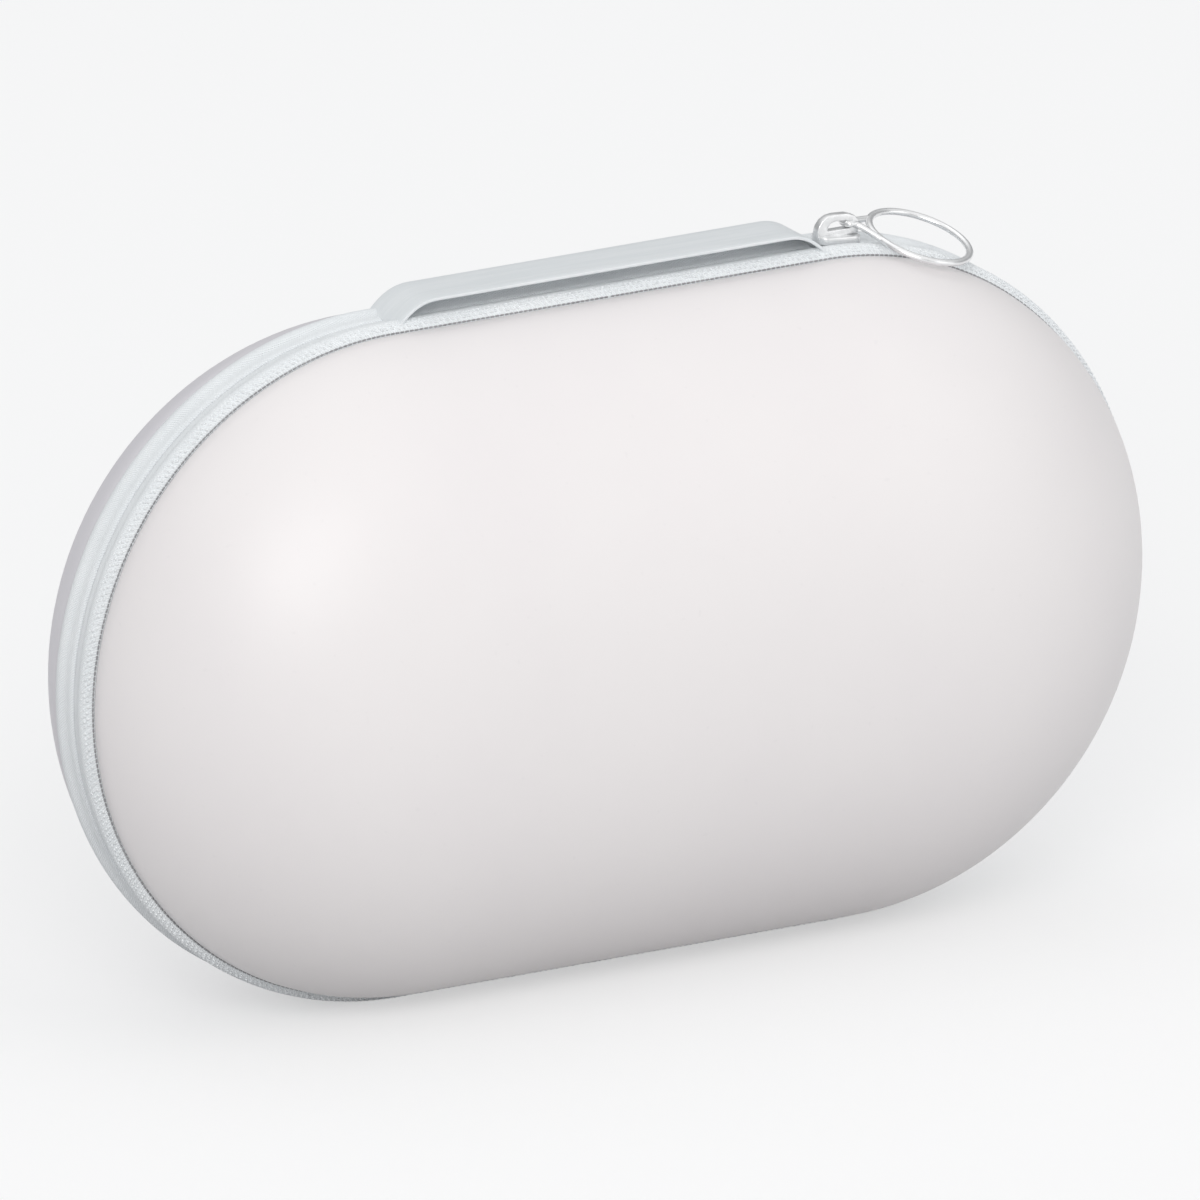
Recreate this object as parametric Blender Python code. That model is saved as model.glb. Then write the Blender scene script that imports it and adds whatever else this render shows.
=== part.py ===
# Zipped hard travel case for an electric toothbrush.
# It stands on its long straight edge, with the carrying strap on top.
# Metres. +X runs to the right, +Y to the back, +Z up; the origin is the middle of the footprint.
from math import atan2, cos, pi, radians, sin

import bmesh
import bpy
from mathutils import Matrix, Vector

# The case as a whole
RIM_RADIUS = 0.0625        # round ends of the outline
STRAIGHT_HALF = 0.045      # from the middle to where a round end begins
BAND_WIDTH = 0.013         # woven band between the two shells
BAND_CREST = 0.00175       # how far its two soft rolls stand out of the shells' rims; the case stands on them
BAND_VALLEY = 0.0007       # and how far its middle does, where the zip runs
VALLEY_HALF = 0.0027
CREST_INNER = 0.0036       # from the middle plane to where a roll is full
CREST_OUTER = 0.0047
BAND_LIP = 0.00025         # height of a roll's outer edge at the seam
SHELL_BULGE = 0.0391       # how far each shell stands out from the band
DOME_RIM_PULL = 0.266      # how straight the dome leaves the rim, as a share of the bulge
DOME_CROWN_PULL = 0.731    # how flat its crown runs out, as a share of the radius
DOME_END = 0.97            # share of the curve drawn, up to the flat strip at the crown

# Walls and the gaps between sewn or glued layers
SHELL_WALL = 0.0035
LINING_THICKNESS = 0.0008
LAYER_GAP = 0.0003

# Zip
TAPE_THICKNESS = 0.0011
CHAIN_SLOT = 0.0012        # running slot in which the slider's post travels
COIL_WIDTH = 0.0016
COIL_HEIGHT = 0.0012
BINDING_WIDTH = 0.0016
BINDING_LIP = 0.0006       # how far the binding laps over the lining

# Spine, the fabric hinge under the strap
SPINE_REACH = 0.012        # how far the spine runs on round each end
BOARD_THICKNESS = 0.0008
BOARD_SIDE_GAP = 0.00045   # from the board to the edge bindings
SPINE_LINING_THICKNESS = 0.0006
STOP_LENGTH = 0.0028
STOP_WIDTH = 0.0040
STOP_HEIGHT = 0.0011
STOP_GAP = 0.0005          # from a stop to what it stops

# Carrying strap
STRAP_WIDTH = 0.0115
STRAP_THICKNESS = 0.0006
STRAP_RISE = 0.0046        # clear height under the strap
STRAP_SHIFT = 0.0011       # its middle lies this much to the right of the case's
STRAP_FOOT_INSET = 0.00065  # from half the straight to half the strap, where its underside meets the band
STRAP_BEND_REACH = 0.0083  # along X, from the straight stretch to the foot
STRAP_BEND_POWER = 2.3     # how late the strap turns down
POCKET_BEFORE = 0.0023     # the feet are let into the band: from a foot's end back under the strap
POCKET_BEYOND = 0.001

# Slider
SLIDER_LENGTH = 0.0085
SLIDER_WIDTH = 0.005
SLIDER_CLEARANCE = 0.0005  # under the coil
SLIDER_RISE = 0.0011       # from the band up to the plate, which lets it stand over the strap's foot
SLIDER_OVERHANG = 0.00005  # how far the plate's left end reaches over that foot
PLATE_THICKNESS = 0.0014
PLATE_CORNER = 0.0013
LOWER_PLATE_THICKNESS = 0.0011
POST_LENGTH = 0.0024
POST_WIDTH = 0.0006
CROWN_THICKNESS = 0.0018
CROWN_RISE = 0.0039        # from the plate to the top of the crown
CROWN_LEG_SETBACK = 0.0002
CROWN_CORNER = 0.0033
WINDOW_LENGTH = 0.0046
WINDOW_BASE = 0.0006       # from the plate to the window
WINDOW_HEIGHT = 0.0025
WINDOW_LEG = 0.0012        # crown left standing to the right of the window

# Pull ring
RING_MEAN_RADIUS = 0.0097
WIRE_RADIUS = 0.0007
ARM_RADIUS = 0.00055
ARM_SPREAD = 0.00215       # from the hook's middle to each arm
PIVOT_RISE = 0.002         # pivot above the slider's plate
PIVOT_SETBACK = 0.0028     # pivot from the right end of the plate
PULL_REACH = 0.0146        # from the pivot to the ring's centre, along the slider
PULL_DROP = 0.0031         # and down from it, because the arms are bent up to the window
PULL_SIDE = 0.0025         # and towards the front, because the hook has play in the window
PULL_PITCH = radians(9.2)  # how far the ring droops from the slider's own plane
PULL_ROLL = radians(14.0)  # its front side hangs lower

# Elastic loops that hold the brush in the rear half
LOOP_THICKNESS = 0.001
HANDLE_LOOP_RADIUS = 0.0145
HANDLE_LOOP_WIDTH = 0.022
HANDLE_LOOP_INSET = 0.013  # its middle, short of the left end of the straight
NECK_LOOP_RADIUS = 0.0095
NECK_LOOP_WIDTH = 0.014
NECK_LOOP_OUTSET = 0.007   # its middle, past the right end of the straight
LOOP_LEG = 0.012           # straight part of a loop's legs

# Net pocket in the lid
NET_THICKNESS = 0.0008
NET_DEPTH = 0.006          # behind the lid's rim
NET_HEIGHT = 0.074
HEM_HEIGHT = 0.006
HEM_THICKNESS = 0.0016

# Fineness
ARC_STEPS = 28
OUTER_DOME_STEPS = 9
INNER_DOME_STEPS = 7
STRAP_BEND_STEPS = 7
LOOP_STEPS = 14
WIRE_SIDES = 8
RING_STEPS = 36
CORNER_STEPS = 5
CUT_OVERRUN = 0.001

# Worked out from the sizes above
CENTRE_Z = RIM_RADIUS + BAND_CREST
TOP_Z = CENTRE_Z + RIM_RADIUS
HALF_BAND = BAND_WIDTH / 2
SPINE_ANGLE = SPINE_REACH / RIM_RADIUS
SPINE_SEAM_ANGLE = LAYER_GAP / RIM_RADIUS
TAPE_EDGE = HALF_BAND - LAYER_GAP / 2
SHELL_EDGE = HALF_BAND + LAYER_GAP / 2
BOARD_HALF_WIDTH = TAPE_EDGE - BINDING_WIDTH - BOARD_SIDE_GAP
LINING_INSET = SHELL_WALL + LAYER_GAP
HOLLOW_INSET = LINING_INSET + LINING_THICKNESS + LAYER_GAP
COIL_TOP = RIM_RADIUS - TAPE_THICKNESS - LAYER_GAP
STRAP_FOOT_HALF = STRAIGHT_HALF - STRAP_FOOT_INSET
STRAP_FLAT_HALF = STRAP_FOOT_HALF - STRAP_BEND_REACH
HANDLE_LOOP_X = HANDLE_LOOP_INSET - STRAIGHT_HALF
NECK_LOOP_X = STRAIGHT_HALF + NECK_LOOP_OUTSET
TAU = 2 * pi

# The slider is drawn at the top of the right-hand round end, then run round to where it is parked
SLIDER_LEFT = STRAIGHT_HALF - SLIDER_LENGTH / 2
SLIDER_RIGHT = STRAIGHT_HALF + SLIDER_LENGTH / 2
PLATE_BOTTOM = TOP_Z + SLIDER_RISE
PLATE_TOP = PLATE_BOTTOM + PLATE_THICKNESS
LOWER_PLATE_TOP_RADIUS = COIL_TOP - COIL_HEIGHT - SLIDER_CLEARANCE
LOWER_PLATE_TOP = CENTRE_Z + LOWER_PLATE_TOP_RADIUS
PARKED_LEFT = STRAP_SHIFT + STRAP_FOOT_HALF + STRAP_THICKNESS - SLIDER_OVERHANG
PARK_ANGLE = (PARKED_LEFT - SLIDER_LEFT) / RIM_RADIUS
ROUND_END = Vector((STRAIGHT_HALF, 0, CENTRE_Z))
PARK = Matrix.Translation(ROUND_END) @ Matrix.Rotation(PARK_ANGLE, 4, "Y") @ Matrix.Translation(-ROUND_END)
PIVOT = Vector((SLIDER_RIGHT - PIVOT_SETBACK, 0, PLATE_TOP + PIVOT_RISE))

# The right-hand stop sits against the lower plate, and the spine's board ends against that stop
STOP_RIGHT_LEFT = SLIDER_LEFT + LOWER_PLATE_TOP_RADIUS * sin(PARK_ANGLE) - STOP_GAP - STOP_LENGTH
STOP_LEFT_LEFT = -STRAIGHT_HALF - SPINE_REACH + STOP_GAP
SPINE_BOARD_HALF = STOP_RIGHT_LEFT - LAYER_GAP


def clear_scene():
    for old in list(bpy.data.objects):
        bpy.data.objects.remove(old, do_unlink=True)


def material(name, color, roughness, metallic=0.0):
    made = bpy.data.materials.new(name)
    made.use_nodes = True
    shader = made.node_tree.nodes["Principled BSDF"]
    shader.inputs["Base Color"].default_value = (*color, 1.0)
    shader.inputs["Roughness"].default_value = roughness
    shader.inputs["Metallic"].default_value = metallic
    return made


def finish(name, shape, look, parent=None):
    """Turn a bmesh in world coordinates into a named object under its parent empty."""
    bmesh.ops.recalc_face_normals(shape, faces=shape.faces)
    mesh = bpy.data.meshes.new(name)
    shape.to_mesh(mesh)
    shape.free()
    made = bpy.data.objects.new(name, mesh)
    bpy.context.scene.collection.objects.link(made)
    if look:
        mesh.materials.append(look)
        mesh.shade_smooth()
        mesh.set_sharp_from_angle(angle=radians(35))
    if parent:
        mesh.transform(Matrix.Translation(-parent.location))
        made.parent = parent
    return made


def pivot_empty(name, place):
    """An empty on a joint's axis, which carries the pieces that turn about it."""
    made = bpy.data.objects.new(name, None)
    bpy.context.scene.collection.objects.link(made)
    made.location = place
    return made


def cutter(name, shape):
    made = finish(name, shape, None)
    made.hide_render = True
    made.display_type = "WIRE"
    return made


def combine(target, other, operation):
    step = target.modifiers.new(operation.lower(), "BOOLEAN")
    step.operation = operation
    step.solver = "EXACT"
    step.object = other


# Outline of the case: a station is the centre of a round end and an angle from the top, clockwise

def arc_stations(side, first, last):
    return [(side * STRAIGHT_HALF, first + (last - first) * i / ARC_STEPS) for i in range(ARC_STEPS + 1)]


def rim_point(station, radius, y):
    centre_x, angle = station
    return Vector((centre_x + radius * sin(angle), y, CENTRE_Z + radius * cos(angle)))


def whole_rim():
    return arc_stations(1, 0, pi) + arc_stations(-1, pi, TAU)


def zipped_rim():
    """Everything but the spine's stretch along the top."""
    start = SPINE_ANGLE + SPINE_SEAM_ANGLE
    return arc_stations(1, start, pi) + arc_stations(-1, pi, TAU - start)


def spine_rim():
    return arc_stations(-1, TAU - SPINE_ANGLE, TAU) + arc_stations(1, 0, SPINE_ANGLE)


def sweep(stations, profile, closed):
    """Carry a closed profile of (radius, y) points along the stations."""
    shape = bmesh.new()
    rings = [[shape.verts.new(rim_point(at, radius, y)) for radius, y in profile] for at in stations]
    pairs = list(zip(rings, rings[1:]))
    if closed:
        pairs.append((rings[-1], rings[0]))
    else:
        shape.faces.new(rings[0])
        shape.faces.new(rings[-1])
    for near, far in pairs:
        for i in range(len(profile)):
            j = (i + 1) % len(profile)
            shape.faces.new((near[i], near[j], far[j], far[i]))
    return shape


def strip_profile(outer, inner, y_first, y_last):
    return [(outer, y_first), (outer, y_last), (inner, y_last), (inner, y_first)]


def roll_profile(side):
    """Outer face of half the band as (radius, y), from the chain over the soft roll to the seam."""
    shoulder = (CREST_OUTER + TAPE_EDGE) / 2
    line = [(BAND_VALLEY, CHAIN_SLOT / 2), (BAND_VALLEY, VALLEY_HALF)]
    line.append((0.6 * BAND_CREST + 0.4 * BAND_VALLEY, (VALLEY_HALF + CREST_INNER) / 2))
    line += [(BAND_CREST, CREST_INNER), (BAND_CREST, CREST_OUTER)]
    line += [(0.7 * BAND_CREST + 0.3 * BAND_LIP, shoulder), (BAND_LIP, TAPE_EDGE)]
    return [(RIM_RADIUS + height, side * y) for height, y in line]


# Shells and their linings

def dome(inset, steps):
    """(radius, depth) from the rim to the crown of a shell surface that lies this far inside."""
    radius = RIM_RADIUS - inset
    depth = SHELL_BULGE - inset
    line = []
    for i in range(steps + 1):
        t = DOME_END * i / steps
        middle = 3 * (1 - t) * t ** 2
        drawn_in = middle * (1 - DOME_CROWN_PULL) + t ** 3
        risen = 3 * (1 - t) ** 2 * t * DOME_RIM_PULL + middle + t ** 3
        line.append((radius * (1 - drawn_in), depth * risen))
    return line


def cup(side, profile):
    """A hollow half: rings of the outline joined along an open profile, closed at both crowns."""
    shape = bmesh.new()
    stations = whole_rim()
    rings = []
    for radius, depth in profile:
        y = side * (SHELL_EDGE + depth)
        rings.append([shape.verts.new(rim_point(at, radius, y)) for at in stations])
    for near, far in zip(rings, rings[1:]):
        for i in range(len(stations)):
            j = (i + 1) % len(stations)
            shape.faces.new((near[i], near[j], far[j], far[i]))
    shape.faces.new(rings[0])
    shape.faces.new(rings[-1])
    return shape


def half_shell(name, side, look, parent=None):
    outer = dome(0, OUTER_DOME_STEPS)
    inner = dome(SHELL_WALL, INNER_DOME_STEPS)
    return finish(name, cup(side, outer[::-1] + inner), look, parent)


def half_lining(name, side, look, parent=None):
    outer = dome(LINING_INSET, INNER_DOME_STEPS)
    inner = dome(LINING_INSET + LINING_THICKNESS, INNER_DOME_STEPS)
    return finish(name, cup(side, outer[::-1] + inner), look, parent)


def hollow_cutter(name, side):
    """The space inside a lining, to which loops and the net are trimmed."""
    wall = dome(HOLLOW_INSET, INNER_DOME_STEPS)
    mouth = (wall[-1][0], wall[0][1])
    return cutter(name, cup(side, [mouth] + wall))


# Zip halves

def zipper_tape(name, side, look, parent=None):
    inner = RIM_RADIUS - TAPE_THICKNESS
    profile = roll_profile(side) + [(inner, side * TAPE_EDGE), (inner, side * CHAIN_SLOT / 2)]
    return finish(name, sweep(zipped_rim(), profile, False), look, parent)


def zipper_coil(name, side, look, parent=None):
    first = side * CHAIN_SLOT / 2
    last = side * (CHAIN_SLOT / 2 + COIL_WIDTH)
    profile = strip_profile(COIL_TOP, COIL_TOP - COIL_HEIGHT, first, last)
    return finish(name, sweep(zipped_rim(), profile, False), look, parent)


def edge_binding(name, side, look, parent=None):
    inner = RIM_RADIUS - HOLLOW_INSET - BINDING_LIP
    profile = strip_profile(COIL_TOP, inner, side * (TAPE_EDGE - BINDING_WIDTH), side * TAPE_EDGE)
    return finish(name, sweep(whole_rim(), profile, True), look, parent)


# Box and plate shapes

def box(low, high):
    shape = bmesh.new()
    bmesh.ops.create_cube(shape, size=1)
    low = Vector(low)
    high = Vector(high)
    size = high - low
    bmesh.ops.scale(shape, vec=size, verts=shape.verts)
    bmesh.ops.translate(shape, vec=(low + high) / 2, verts=shape.verts)
    return shape


def extrude_outline(points, offset):
    """A prism from a flat outline and the vector that carries it to its far face."""
    shape = bmesh.new()
    face = shape.faces.new([shape.verts.new(p) for p in points])
    grown = bmesh.ops.extrude_face_region(shape, geom=[face])
    moved = [v for v in grown["geom"] if isinstance(v, bmesh.types.BMVert)]
    bmesh.ops.translate(shape, vec=offset, verts=moved)
    return shape


def round_cornered_plate(left, right, width, bottom, height):
    """A plate along X with round corners."""
    reach = width / 2 - PLATE_CORNER
    points = []
    for centre_x, centre_y, start in ((right - PLATE_CORNER, -reach, -pi / 2), (right - PLATE_CORNER, reach, 0),
                                      (left + PLATE_CORNER, reach, pi / 2), (left + PLATE_CORNER, -reach, pi)):
        for i in range(CORNER_STEPS + 1):
            angle = start + pi / 2 * i / CORNER_STEPS
            x = centre_x + PLATE_CORNER * cos(angle)
            points.append(Vector((x, centre_y + PLATE_CORNER * sin(angle), bottom)))
    return extrude_outline(points, Vector((0, 0, height)))


# Spine and strap

def spine_band(look, parent):
    inner = RIM_RADIUS - TAPE_THICKNESS
    profile = roll_profile(-1)[::-1] + roll_profile(1) + [(inner, TAPE_EDGE), (inner, -TAPE_EDGE)]
    made = finish("spine_band", sweep(spine_rim(), profile, False), look, parent)
    post_x = STRAIGHT_HALF + LOWER_PLATE_TOP_RADIUS * sin(PARK_ANGLE)
    slot_left = post_x - POST_LENGTH / 2 - STOP_GAP
    slot_right = STRAIGHT_HALF + SPINE_REACH + CUT_OVERRUN
    drop = RIM_RADIUS * (1 - cos(SPINE_ANGLE))
    low = (slot_left, -CHAIN_SLOT / 2, TOP_Z - TAPE_THICKNESS - drop - CUT_OVERRUN)
    high = (slot_right, CHAIN_SLOT / 2, TOP_Z + CUT_OVERRUN)
    combine(made, cutter("post_slot_cutter", box(low, high)), "DIFFERENCE")
    reach = STRAP_WIDTH / 2 + LAYER_GAP
    for side in (-1, 1):
        foot = side * STRAP_FOOT_HALF
        first, last = sorted((foot - side * POCKET_BEFORE, foot + side * POCKET_BEYOND))
        pocket = box((STRAP_SHIFT + first, -reach, TOP_Z), (STRAP_SHIFT + last, reach, TOP_Z + BAND_CREST + CUT_OVERRUN))
        combine(made, cutter("foot_pocket_cutter", pocket), "DIFFERENCE")
    return made


def spine_board(look, parent):
    half = SPINE_BOARD_HALF
    top = TOP_Z - TAPE_THICKNESS - LAYER_GAP
    shape = box((-half, -BOARD_HALF_WIDTH, top - BOARD_THICKNESS), (half, BOARD_HALF_WIDTH, top))
    return finish("spine_board", shape, look, parent)


def spine_lining(look, parent):
    half = SPINE_BOARD_HALF
    top = TOP_Z - TAPE_THICKNESS - BOARD_THICKNESS - 2 * LAYER_GAP
    shape = box((-half, -BOARD_HALF_WIDTH, top - SPINE_LINING_THICKNESS), (half, BOARD_HALF_WIDTH, top))
    return finish("spine_lining", shape, look, parent)


def zipper_stop(name, left, look, parent):
    right = left + STOP_LENGTH
    far = max(abs(left), abs(right)) - STRAIGHT_HALF
    drop = RIM_RADIUS - (RIM_RADIUS ** 2 - max(far, 0) ** 2) ** 0.5
    top = TOP_Z - TAPE_THICKNESS - LAYER_GAP - drop
    shape = box((left, -STOP_WIDTH / 2, top - STOP_HEIGHT), (right, STOP_WIDTH / 2, top))
    return finish(name, shape, look, parent)


def handle_strap(look, parent):
    """A flat strap that runs level and turns down to the band at both ends."""
    bend = STRAP_FOOT_HALF - STRAP_FLAT_HALF
    rise = STRAP_RISE - LAYER_GAP
    right_side = []
    for i in range(STRAP_BEND_STEPS + 1):
        along = i / STRAP_BEND_STEPS
        z = TOP_Z + LAYER_GAP + rise * (1 - along ** STRAP_BEND_POWER)
        right_side.append((STRAP_FLAT_HALF + bend * along, z))
    under = [(STRAP_SHIFT - x, z) for x, z in right_side[::-1]] + [(STRAP_SHIFT + x, z) for x, z in right_side]
    over = []
    for i, (x, z) in enumerate(under):
        before = under[max(i - 1, 0)]
        after = under[min(i + 1, len(under) - 1)]
        along = Vector((after[0] - before[0], after[1] - before[1])).normalized()
        over.append((x - along.y * STRAP_THICKNESS, z + along.x * STRAP_THICKNESS))
    outline = under + over[::-1]
    points = [Vector((x, -STRAP_WIDTH / 2, z)) for x, z in outline]
    return finish("handle_strap", extrude_outline(points, Vector((0, STRAP_WIDTH, 0))), look, parent)


# Slider and pull

def slider_crown():
    """An upright arch along X with rounded shoulders and a window for the pull."""
    left = SLIDER_LEFT + CROWN_LEG_SETBACK
    right = SLIDER_RIGHT - CROWN_LEG_SETBACK
    top = PLATE_TOP + CROWN_RISE
    foot = PLATE_TOP - PLATE_THICKNESS / 2
    outline = [(left, foot), (right, foot)]
    for centre_x, start in ((right - CROWN_CORNER, 0), (left + CROWN_CORNER, pi / 2)):
        for i in range(CORNER_STEPS + 1):
            angle = start + pi / 2 * i / CORNER_STEPS
            x = centre_x + CROWN_CORNER * cos(angle)
            outline.append((x, top - CROWN_CORNER + CROWN_CORNER * sin(angle)))
    points = [Vector((x, -CROWN_THICKNESS / 2, z)) for x, z in outline]
    return extrude_outline(points, Vector((0, CROWN_THICKNESS, 0)))


def parked(shape):
    bmesh.ops.transform(shape, matrix=PARK, verts=shape.verts)
    return shape


def slider_body(look, parent):
    """Two plates joined by a post, with the crown standing on the outer one."""
    lower_bottom = LOWER_PLATE_TOP - LOWER_PLATE_THICKNESS
    plate = round_cornered_plate(SLIDER_LEFT, SLIDER_RIGHT, SLIDER_WIDTH, PLATE_BOTTOM, PLATE_THICKNESS)
    made = finish("slider_body", parked(plate), look, parent)
    crown = cutter("crown_shape", parked(slider_crown()))
    window_right = SLIDER_RIGHT - CROWN_LEG_SETBACK - WINDOW_LEG
    window_bottom = PLATE_TOP + WINDOW_BASE
    window_low = (window_right - WINDOW_LENGTH, -CROWN_THICKNESS, window_bottom)
    window_high = (window_right, CROWN_THICKNESS, window_bottom + WINDOW_HEIGHT)
    combine(crown, cutter("crown_window_cutter", parked(box(window_low, window_high))), "DIFFERENCE")
    combine(made, crown, "UNION")
    lower = round_cornered_plate(SLIDER_LEFT, SLIDER_RIGHT, SLIDER_WIDTH, lower_bottom, LOWER_PLATE_THICKNESS)
    combine(made, cutter("lower_plate_shape", parked(lower)), "UNION")
    post_half = POST_LENGTH / 2
    post_low = (STRAIGHT_HALF - post_half, -POST_WIDTH / 2, LOWER_PLATE_TOP - LOWER_PLATE_THICKNESS / 2)
    post_high = (STRAIGHT_HALF + post_half, POST_WIDTH / 2, PLATE_BOTTOM + PLATE_THICKNESS / 2)
    combine(made, cutter("post_shape", parked(box(post_low, post_high))), "UNION")
    return made


def wire(route, radius, closed):
    """A round wire along a route of points that never runs straight up."""
    shape = bmesh.new()
    rings = []
    count = len(route)
    for i, place in enumerate(route):
        before = route[(i - 1) % count] if closed else route[max(i - 1, 0)]
        after = route[(i + 1) % count] if closed else route[min(i + 1, count - 1)]
        along = (after - before).normalized()
        across = along.cross(Vector((0, 0, 1))).normalized()
        upward = across.cross(along)
        ring = []
        for k in range(WIRE_SIDES):
            angle = TAU * k / WIRE_SIDES
            offset = across * cos(angle) + upward * sin(angle)
            ring.append(shape.verts.new(place + radius * offset))
        rings.append(ring)
    pairs = list(zip(rings, rings[1:]))
    if closed:
        pairs.append((rings[-1], rings[0]))
    else:
        shape.faces.new(rings[0])
        shape.faces.new(rings[-1])
    for near, far in pairs:
        for k in range(WIRE_SIDES):
            m = (k + 1) % WIRE_SIDES
            shape.faces.new((near[k], near[m], far[m], far[k]))
    return shape


def pull_ring(look, parent):
    """A round ring on a narrow loop that is bent up to the window; drawn about its pivot."""
    hang = PARK @ Matrix.Translation(PIVOT)
    skew = Matrix.Rotation(-atan2(PULL_SIDE, PULL_REACH), 4, "Z")
    lay = (Matrix.Translation(Vector((PULL_REACH, -PULL_SIDE, -PULL_DROP)))
           @ Matrix.Rotation(PULL_PITCH, 4, "Y") @ Matrix.Rotation(PULL_ROLL, 4, "X") @ skew)
    ring_route = []
    for i in range(RING_STEPS):
        angle = TAU * i / RING_STEPS
        ring_route.append(Vector((RING_MEAN_RADIUS * cos(angle), RING_MEAN_RADIUS * sin(angle), 0)))
    root_x = -(RING_MEAN_RADIUS ** 2 - ARM_SPREAD ** 2) ** 0.5
    near_root = lay @ Vector((root_x, -ARM_SPREAD, 0))
    far_root = lay @ Vector((root_x, ARM_SPREAD, 0))
    slope = (near_root.z + far_root.z) / (near_root.x + far_root.x)
    hook_route = [near_root]
    for i in range(CORNER_STEPS + 1):
        angle = -pi / 2 + pi * i / CORNER_STEPS
        x = ARM_SPREAD / 2 * (1 - cos(angle))
        hook_route.append(skew @ Vector((x, ARM_SPREAD * sin(angle), slope * x)))
    hook_route.append(far_root)
    ring = wire(ring_route, WIRE_RADIUS, True)
    hook = wire(hook_route, ARM_RADIUS, False)
    bmesh.ops.transform(ring, matrix=hang @ lay, verts=ring.verts)
    bmesh.ops.transform(hook, matrix=hang, verts=hook.verts)
    made = finish("pull_ring", ring, look, parent)
    combine(made, cutter("pull_hook_shape", hook), "UNION")
    return made


# What the case holds inside

def elastic_loop(name, centre_x, width, radius, look, hollow):
    """An elastic band that arches over the brush, its two ends on the rear lining."""
    floor = SHELL_EDGE + SHELL_BULGE
    crown_y = SHELL_EDGE + SHELL_BULGE - HOLLOW_INSET - LOOP_LEG
    outline = []
    for reach, order in ((radius + LOOP_THICKNESS, 1), (radius, -1)):
        arch = [(floor, -reach)]
        for i in range(LOOP_STEPS + 1):
            angle = -pi / 2 + pi * i / LOOP_STEPS
            arch.append((crown_y - reach * cos(angle), reach * sin(angle)))
        arch.append((floor, reach))
        outline += arch[::order]
    points = [Vector((centre_x - width / 2, y, CENTRE_Z + z)) for y, z in outline]
    made = finish(name, extrude_outline(points, Vector((width, 0, 0))), look)
    combine(made, hollow, "INTERSECT")
    return made


def pocket_slab(name, bottom, top, near, far, look, hollow, parent):
    """A flat piece across the lid's hollow, trimmed to the lining."""
    half = STRAIGHT_HALF + RIM_RADIUS
    made = finish(name, box((-half, -far, bottom), (half, -near, top)), look, parent)
    combine(made, hollow, "INTERSECT")
    return made


def build_case():
    clear_scene()
    shell_front = material("front_shell_moulded", (0.79, 0.76, 0.77), 0.5)
    shell_rear = material("rear_shell_moulded", (0.76, 0.75, 0.77), 0.52)
    woven = material("woven_tape", (0.70, 0.72, 0.75), 0.85)
    coil_nylon = material("coil_nylon", (0.78, 0.79, 0.81), 0.45)
    lining_cloth = material("lining_cloth", (0.55, 0.56, 0.58), 0.9)
    binding_cloth = material("binding_cloth", (0.62, 0.63, 0.65), 0.9)
    strap_sheet = material("strap_sheet", (0.70, 0.72, 0.73), 0.55)
    board_plastic = material("board_plastic", (0.5, 0.5, 0.5), 0.6)
    cast_metal = material("cast_metal", (0.86, 0.87, 0.88), 0.25, 1.0)
    elastic = material("elastic_webbing", (0.35, 0.36, 0.38), 0.85)
    net = material("pocket_net", (0.4, 0.41, 0.43), 0.9)

    lid = pivot_empty("lid_axis", Vector((0, HALF_BAND, TOP_Z)))
    slider = pivot_empty("slider_axis", ROUND_END)
    pull = pivot_empty("pull_axis", PARK @ PIVOT)

    rear_hollow = hollow_cutter("rear_hollow_cutter", 1)
    front_hollow = hollow_cutter("front_hollow_cutter", -1)

    half_shell("rear_shell", 1, shell_rear)
    half_lining("rear_lining", 1, lining_cloth)
    zipper_tape("rear_zipper_tape", 1, woven)
    zipper_coil("rear_zipper_coil", 1, coil_nylon)
    edge_binding("rear_binding", 1, binding_cloth)
    elastic_loop("handle_loop", HANDLE_LOOP_X, HANDLE_LOOP_WIDTH, HANDLE_LOOP_RADIUS, elastic, rear_hollow)
    elastic_loop("neck_loop", NECK_LOOP_X, NECK_LOOP_WIDTH, NECK_LOOP_RADIUS, elastic, rear_hollow)

    half_shell("front_shell", -1, shell_front, lid)
    half_lining("front_lining", -1, lining_cloth, lid)
    zipper_tape("front_zipper_tape", -1, woven, lid)
    zipper_coil("front_zipper_coil", -1, coil_nylon, lid)
    edge_binding("front_binding", -1, binding_cloth, lid)
    net_near = SHELL_EDGE + NET_DEPTH
    net_far = net_near + NET_THICKNESS
    net_top = HOLLOW_INSET + NET_HEIGHT
    pocket_slab("pocket_net", 0, net_top, net_near, net_far, net, front_hollow, lid)
    hem_far = net_near + HEM_THICKNESS
    hem_bottom = net_top + LAYER_GAP
    pocket_slab("pocket_hem", hem_bottom, hem_bottom + HEM_HEIGHT, net_near, hem_far, elastic, front_hollow, lid)

    spine_band(woven, lid)
    spine_board(board_plastic, lid)
    spine_lining(lining_cloth, lid)
    handle_strap(strap_sheet, lid)
    zipper_stop("zipper_stop_right", STOP_RIGHT_LEFT, coil_nylon, lid)
    zipper_stop("zipper_stop_left", STOP_LEFT_LEFT, coil_nylon, lid)

    slider_body(cast_metal, slider)
    pull_ring(cast_metal, pull)


build_case()
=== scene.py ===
import random
from math import atan2, cos, pi, radians, sin, sqrt

import bmesh
import bpy
from mathutils import Matrix, Vector


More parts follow.
